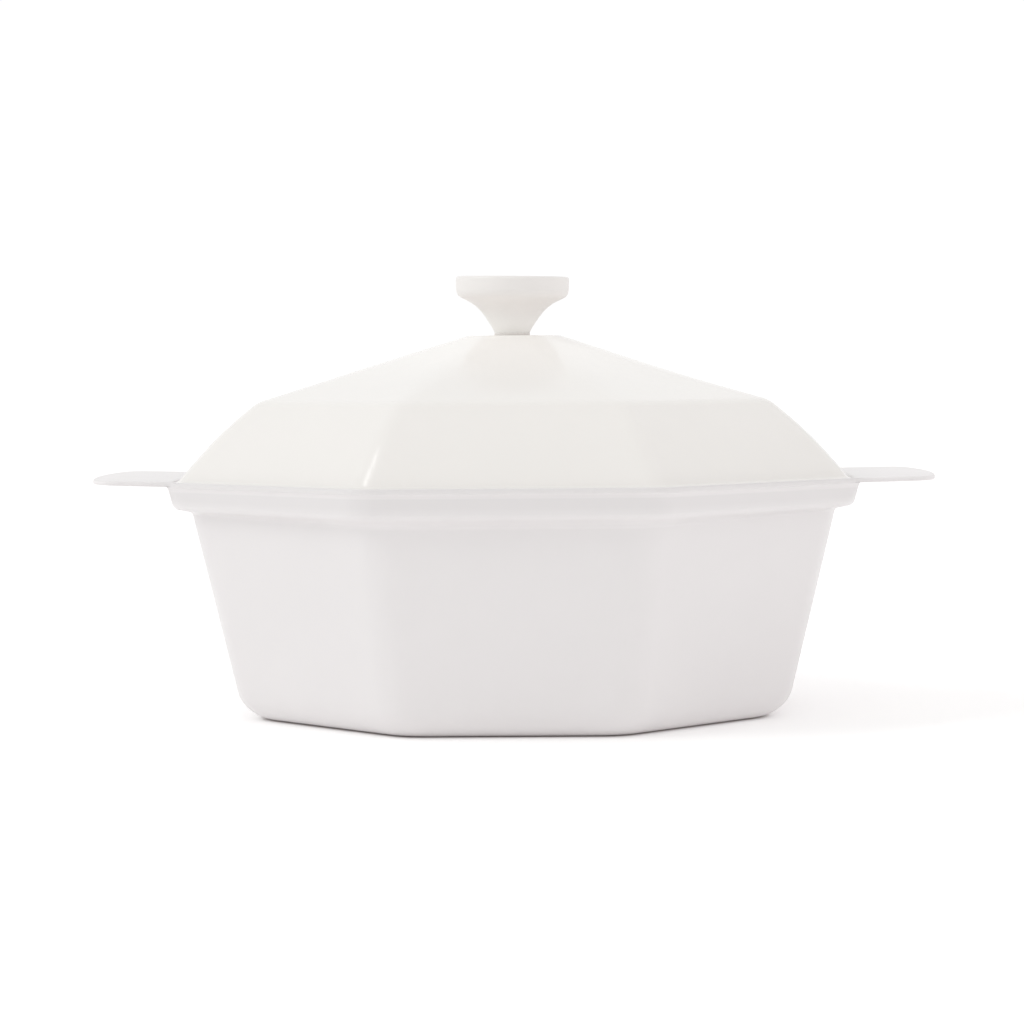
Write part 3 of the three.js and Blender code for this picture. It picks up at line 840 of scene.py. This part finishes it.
FASTEN_X = -0.55  # the hole and the fastening sit a little off centre
HOLE = 2.9
inner_disc = disc_rings(lid_rings[-1], [14.5, 11.0, 7.6, 5.0, 3.6, 3.15], LID_TOP - SHEET, HOLE)
outer_disc = disc_rings(lid_rings[0], [3.15, 3.6, 5.0, 7.6, 11.0, 14.5], LID_TOP, HOLE)
unit = lid_rings[0][:, :2] / np.linalg.norm(lid_rings[0][:, :2], axis=1, keepdims=True)
hole_rings = [
    np.column_stack([unit[:, 0] * HOLE + FASTEN_X, unit[:, 1] * HOLE, np.full(len(unit), z)])
    for z in (LID_TOP - SHEET + 0.2, LID_TOP - SHEET * 0.5, LID_TOP - 0.2)
]
everything = lid_rings + inner_disc + hole_rings + outer_disc
lid_edge += [np.zeros(len(unit))] * len(inner_disc) + [np.ones(len(unit))] * 3 + [np.zeros(len(unit))] * len(outer_disc)
lid_rub += [np.full(len(unit), 0.3)] * (len(inner_disc) + 3 + len(outer_disc))
verts, faces = loft(everything, closed=True)
from_axis = np.hypot([v[0] for v in verts], [v[1] for v in verts])
towards_front = -np.array([v[1] for v in verts]) / np.maximum(from_axis, 1.0)
# painted light: the lid is lightened round the knob, where its shade falls, and more towards the front
lid_painted_light = (1 - smoothstep(22.0, 84.0, from_axis)) * (0.55 + 0.45 * smoothstep(0.0, 0.85, towards_front))
lid = make(
    "lid_skin", verts, faces, lid_enamel, "lid", ["lid_shell"],
    {"edge": np.concatenate(lid_edge), "rub": np.concatenate(lid_rub), "tone_and_painted_light": lid_painted_light},
)

# ---------------------------------------------------------------- knob and fastening
TILT = (rad(0.85), rad(-0.9))  # the screw pulls the knob down a little unevenly
PIVOT = KNOB_FOOT
stem = smooth(
    [(7.1, KNOB_FOOT + 0.35), (7.95, 150.7), (8.95, 152.3), (10.0, 153.9), (11.1, 155.5), (12.4, 157.1), (13.9, 158.6), (15.75, 160.1), (17.6, 161.15), (19.4, 162.0)],
    4,
)
head = smooth([(19.4, 162.0), (20.4, 162.5), (21.1, 163.0), (21.6, 163.58), (21.95, 164.22), (22.2, 164.9), (22.34, 165.6), (22.39, 166.5), (KNOB_R, 168.2), (KNOB_R, 169.7)], 3)[1:]
knob_line = (
    [(4.25, 161.2), (4.25, 158.0), (4.25, 152.0), (4.25, KNOB_FOOT + 0.25), (4.5, KNOB_FOOT)]
    + [(5.8, KNOB_FOOT), (6.8, KNOB_FOOT), (7.0, KNOB_FOOT + 0.1)]
    + stem
    + head
    + [(KNOB_R - 0.04, 170.16), (KNOB_R - 0.16, 170.48), (KNOB_R - 0.4, 170.74), (KNOB_R - 0.72, 170.9)]
    + [(KNOB_R - 1.1, 170.97), (KNOB_R - 2.2, 171.0), (14.0, 171.0), (7.0, 171.0), (2.0, 171.0)]
)
STEPS = 128
verts, faces = lathe(knob_line, STEPS, (FASTEN_X, 0), (*TILT, PIVOT), start=True, end=True)
edge = np.concatenate(
    [np.full(STEPS, 1.0 if (z > 170.0 and r > 20) or (r > 6.5 and z < KNOB_FOOT + 0.3) else 0.0) for r, z in knob_line] + [[0.0, 0.0]]
)
# painted shade on the head's band and painted light down the stem, where the knob shades itself
painted_head_shade = np.concatenate([np.full(STEPS, float(smoothstep(162.0, 165.5, z)) if r > 15 else 0.0) for r, z in knob_line] + [[0.0, 0.0]])
painted_stem_light = np.concatenate([np.full(STEPS, float(1 - smoothstep(151.0, 160.0, z))) for r, z in knob_line] + [[0.0, 0.0]])
knob = make("knob_turned", verts, faces, knob_plastic, "lid", ["lid_knob"], {"edge": edge, "painted_head_shade": painted_head_shade, "painted_stem_light": painted_stem_light})

# rubber spacer, a little swollen where it is squeezed
z0, z1 = spacer_lo.z / MM, spacer_hi.z / MM
z0, z1 = LID_TOP + 0.02, KNOB_FOOT - 0.03
line = [(3.0, z0 + 0.1), (3.2, z0), (6.7, z0), (6.98, z0 + 0.1), (7.1, (z0 + z1) / 2), (6.98, z1 - 0.1), (6.7, z1), (3.2, z1), (3.0, z1 - 0.1)]
verts, faces = lathe(line, 96, (FASTEN_X, 0), None, closed=True)
make("knob_gasket", verts, faces, spacer_rubber, "lid", ["knob_spacer"])

# knurled brass insert: two knurled bands with a plain waist, and a threaded bore
z0, z1 = insert_lo.z / MM, insert_hi.z / MM
N = 160
ang = np.linspace(0, 2 * math.pi, N, endpoint=False)
rows, edge = [], []


def insert_row(r, z, knurl=0.0, e=0.0):
    tooth = 0.5 + 0.5 * np.cos(32 * ang)
    rr = r - knurl * tooth
    rows.append(np.column_stack([rr * np.cos(ang), rr * np.sin(ang), np.full(N, z)]))
    edge.append(np.full(N, e))


for r, z, k, e in [
    (2.9, z0, 0, 1), (3.6, z0, 0, 1), (3.78, z0 + 0.15, 0, 1), (3.95, z0 + 0.45, 0.28, 0.6), (3.95, z0 + 2.5, 0.28, 0.6), (3.95, z0 + 4.4, 0.28, 0.6),
    (3.6, z0 + 4.8, 0.1, 0.3), (3.4, z0 + 5.2, 0, 0), (3.4, z0 + 6.8, 0, 0), (3.6, z0 + 7.2, 0.1, 0.3),
    (3.95, z0 + 7.6, 0.28, 0.6), (3.95, z0 + 9.6, 0.28, 0.6), (3.95, z1 - 0.45, 0.28, 0.6), (3.78, z1 - 0.15, 0, 1), (3.6, z1, 0, 1), (2.9, z1, 0, 1),
]:
    insert_row(r, z, k, e)
pitch = 0.8
for z in np.arange(z1 - 0.15, z0 + 0.1, -0.2):
    wave = np.abs(((z / pitch - ang / (2 * math.pi)) % 1.0) * 2 - 1)
    rr = 2.72 + 0.16 * wave
    rows.append(np.column_stack([rr * np.cos(ang), rr * np.sin(ang), np.full(N, z)]))
    edge.append(np.full(N, 0.0))
verts, faces = loft(rows, closed=True)
verts = lean(verts, (*TILT, PIVOT), (FASTEN_X, 0))
make("knob_bush", verts, faces, brass, "lid", ["knob_insert"], {"edge": np.concatenate(edge)})

# flat washer with rounded stamped edges
z0, z1 = washer_lo.z / MM, washer_hi.z / MM
line = [(2.8, z0 + 0.22), (2.9, z0 + 0.06), (3.1, z0), (4.8, z0), (6.6, z0), (6.88, z0 + 0.08), (7.0, z0 + 0.3), (7.0, z1 - 0.12), (6.9, z1), (4.8, z1), (2.95, z1), (2.8, z1 - 0.12)]
verts, faces = lathe(line, 96, (FASTEN_X, 0), None, closed=True)
edge = np.concatenate([np.full(96, 1.0 if (r > 6.7 or r < 3.0) else 0.0) for r, z in line])
make("flat_washer", verts, faces, steel, "lid", ["lid_washer"], {"edge": edge})

# spring washer: a split ring, its ends cut on a slant and left a hair apart in height
z0, z1 = lock_lo.z / MM, lock_hi.z / MM
gap = 0.17
rows = []
for i, t in enumerate(np.linspace(gap, 2 * math.pi - gap, 97)):
    lift = 0.10 * ((t - math.pi) / math.pi)
    h = (z1 - z0) / 2 - 0.12
    zc = (z0 + z1) / 2 + lift
    section = [(2.82, -h + 0.12), (2.95, -h), (4.42, -h), (4.58, -h + 0.14), (4.58, h - 0.14), (4.42, h), (2.95, h), (2.82, h - 0.12)]
    slant = 0.07
    rows.append([(r * math.cos(t + slant * zz / h), r * math.sin(t + slant * zz / h), zc + zz) for r, zz in section])
n = len(rows[0])
verts = [p for r in rows for p in r]
faces = []
for j in range(len(rows) - 1):
    for i in range(n):
        faces.append((j * n + i, j * n + (i + 1) % n, (j + 1) * n + (i + 1) % n, (j + 1) * n + i))
faces.append(tuple(range(n - 1, -1, -1)))
faces.append(tuple((len(rows) - 1) * n + i for i in range(n)))
verts = lean(verts, None, (FASTEN_X, 0))
make("spring_washer", verts, faces, steel, "lid", ["lock_washer"], {"edge": np.full(len(verts), 0.3)})

# pan-head screw, head down, cross recess, rolled thread
z0 = screw_lo.z / MM
z_top = screw_hi.z / MM
N = 96
ang = np.linspace(0, 2 * math.pi, N, endpoint=False)


def recess(x, y):
    arm = lambda u, v: (1 - smoothstep(0.42, 0.62, np.abs(u))) * (1 - smoothstep(1.7, 2.45, np.abs(v)))
    return 1.55 * np.maximum(arm(x, y), arm(y, x))


rows, edge = [], []
for r in list(np.linspace(0.12, 2.7, 22)) + [2.95, 3.25, 3.55]:
    x, y = r * np.cos(ang), r * np.sin(ang)
    dome = z0 + 0.12 + 0.055 * r * r
    rows.append(np.column_stack([x, y, dome + recess(x, y)]))
    edge.append(np.full(N, 0.25))
for r, z in [(3.95, z0 + 1.02), (4.3, z0 + 1.3), (4.55, z0 + 1.62), (4.7, z0 + 2.0), (4.75, z0 + 2.4), (4.72, z0 + 2.68), (4.6, z0 + 2.78), (4.2, z0 + 2.8), (3.2, z0 + 2.8), (2.6, z0 + 2.8)]:
    rows.append(np.column_stack([r * np.cos(ang), r * np.sin(ang), np.full(N, z)]))
    edge.append(np.full(N, 0.5 if r > 4.4 else 0.0))
for z in np.arange(z0 + 3.0, z_top - 0.9, 0.16):
    wave = np.abs(((z / pitch - ang / (2 * math.pi)) % 1.0) * 2 - 1)
    rr = 2.46 - 0.36 * wave
    rows.append(np.column_stack([rr * np.cos(ang), rr * np.sin(ang), np.full(N, z)]))
    edge.append(0.4 * (1 - wave))
for r, z in [(2.2, z_top - 0.7), (1.9, z_top - 0.25), (1.6, z_top), (0.8, z_top), (0.2, z_top)]:
    rows.append(np.column_stack([r * np.cos(ang), r * np.sin(ang), np.full(N, z)]))
    edge.append(np.full(N, 0.0))
verts, faces = loft(rows, start=(0, 0, z0 + 0.12 + 1.55), end=(0, 0, z_top))
verts = lean(verts, (*TILT, PIVOT), (FASTEN_X, 0))
make("pan_screw", verts, faces, steel, "lid", ["knob_screw"], {"edge": np.concatenate([*edge, [0.25, 0.0]])})

# ---------------------------------------------------------------- floor
mesh = bpy.data.meshes.new("studio_floor")
floor_cols = facet_columns()
floor_a = [20.0, 70.0, 91.0, 93.2, 94.6, 96.5, 99.0, 104.0, 115.0, 160.0, 400.0, 3000.0, 60000.0]
floor_rings = [np.column_stack([ring(floor_cols, a, min(18.0, a * 0.8)), np.zeros(len(floor_cols))]) for a in floor_a]
verts, faces = loft(floor_rings, start=(0, 0, 0))
mesh.from_pydata([tuple(float(c) * MM for c in v) for v in verts], [], [f[::-1] for f in faces])
# mask: 0 under and right round the pot's base, rising to 1 outside it
glow_and_painted_shadow = np.concatenate([np.full(len(floor_cols), float(smoothstep(93.0, 99.5, a))) for a in floor_a] + [[0.0]])
mesh.attributes.new("glow_and_painted_shadow", "FLOAT", "POINT").data.foreach_set("value", glow_and_painted_shadow.astype(np.float32))
floor = bpy.data.objects.new("studio_floor", mesh)
floor.location.z = -0.00002
scene.collection.objects.link(floor)
m = Nodes("floor_paper")
tone = m.span(m.noise(3.0, 3.0), 0.3, 0.7)
paper = m.mix(tone, (0.955, 0.953, 0.95), (0.945, 0.943, 0.94))
glow_and_painted_shadow = m.attribute("glow_and_painted_shadow")
# painted contact shadow: the floor is painted dark brown under and round the base; away from it the floor glows a
# little, as added light
m.link(m.mix(glow_and_painted_shadow, (0.42, 0.33, 0.30), paper), m.bsdf.inputs["Base Color"])
m.bsdf.inputs["Roughness"].default_value = 0.9
m.bsdf.inputs["Specular IOR Level"].default_value = 0.1
m.bsdf.inputs["Emission Color"].default_value = (1.0, 0.975, 0.985, 1)
m.link(m.math("MULTIPLY", glow_and_painted_shadow, 0.176), m.bsdf.inputs["Emission Strength"])
mesh.materials.append(m.material)

# ---------------------------------------------------------------- light
world = bpy.data.worlds.new("studio_world")
scene.world = world
world.use_nodes = True
tree = world.node_tree
tree.nodes.clear()
coord = tree.nodes.new("ShaderNodeTexCoord")
dot = tree.nodes.new("ShaderNodeVectorMath")
dot.operation = "DOT_PRODUCT"
dot.inputs[1].default_value = (0.0, 0.264, 0.0)
tree.links.new(coord.outputs["Generated"], dot.inputs[0])
plus = tree.nodes.new("ShaderNodeMath")
plus.operation = "ADD"
plus.inputs[1].default_value = 0.764
tree.links.new(dot.outputs["Value"], plus.inputs[0])
background = tree.nodes.new("ShaderNodeBackground")
background.inputs["Color"].default_value = (1.0, 1.0, 1.0, 1)
tree.links.new(plus.outputs[0], background.inputs["Strength"])
world_out = tree.nodes.new("ShaderNodeOutputWorld")
tree.links.new(background.outputs[0], world_out.inputs["Surface"])


def sun(name, towards, strength, angle, colour=(1, 1, 1)):
    data = bpy.data.lights.new(name, "SUN")
    data.energy = strength
    data.angle = rad(angle)
    data.color = colour
    obj = bpy.data.objects.new(name, data)
    obj.rotation_mode = "QUATERNION"
    obj.rotation_quaternion = Vector(towards).to_track_quat("Z", "Y")
    scene.collection.objects.link(obj)
    return obj


sun("overhead_softbox", (-0.42, 0.0, 0.90), 0.10, 10)
sun("left_softbox", (-0.75, -0.25, 0.62), 0.665, 30, (0.970, 1.0, 0.990))
sun("front_softbox", (0.0, -0.70, 0.70), 0.295, 60, (0.980, 1.0, 0.965))
sun("right_softbox", (0.90, -0.30, 0.30), 0.365, 70, (1.0, 0.945, 0.950))

# ---------------------------------------------------------------- camera
UNIT = 0.3729 * MM
PITCH, ROLL, YAW = 0.049386, 0.0074687, 0.0143585
cam_data = bpy.data.cameras.new("camera")
cam_data.sensor_fit = "HORIZONTAL"
cam_data.sensor_width = 36.0
cam_data.lens = 2954.8158 / 1024 * 36.0
cam_data.clip_start, cam_data.clip_end = 0.05, 200.0
camera = bpy.data.objects.new("camera", cam_data)
scene.collection.objects.link(camera)
turn = Matrix.Rotation(YAW, 3, "Z")
right0, up0 = Vector((1, 0, 0)), Vector((0, math.sin(PITCH), math.cos(PITCH)))
look = Vector((0, math.cos(PITCH), -math.sin(PITCH)))
right = turn @ (right0 * math.cos(ROLL) - up0 * math.sin(ROLL))
up = turn @ (right0 * math.sin(ROLL) + up0 * math.cos(ROLL))
back = turn @ (-look)
place_at = turn @ (Vector((-2.9796, -3143.4873, 363.6997)) * UNIT)
camera.matrix_world = Matrix(
    (
        (right.x, up.x, back.x, place_at.x),
        (right.y, up.y, back.y, place_at.y),
        (right.z, up.z, back.z, place_at.z),
        (0, 0, 0, 1),
    )
)
scene.camera = camera

# ---------------------------------------------------------------- update the view layer
bpy.context.view_layer.update()
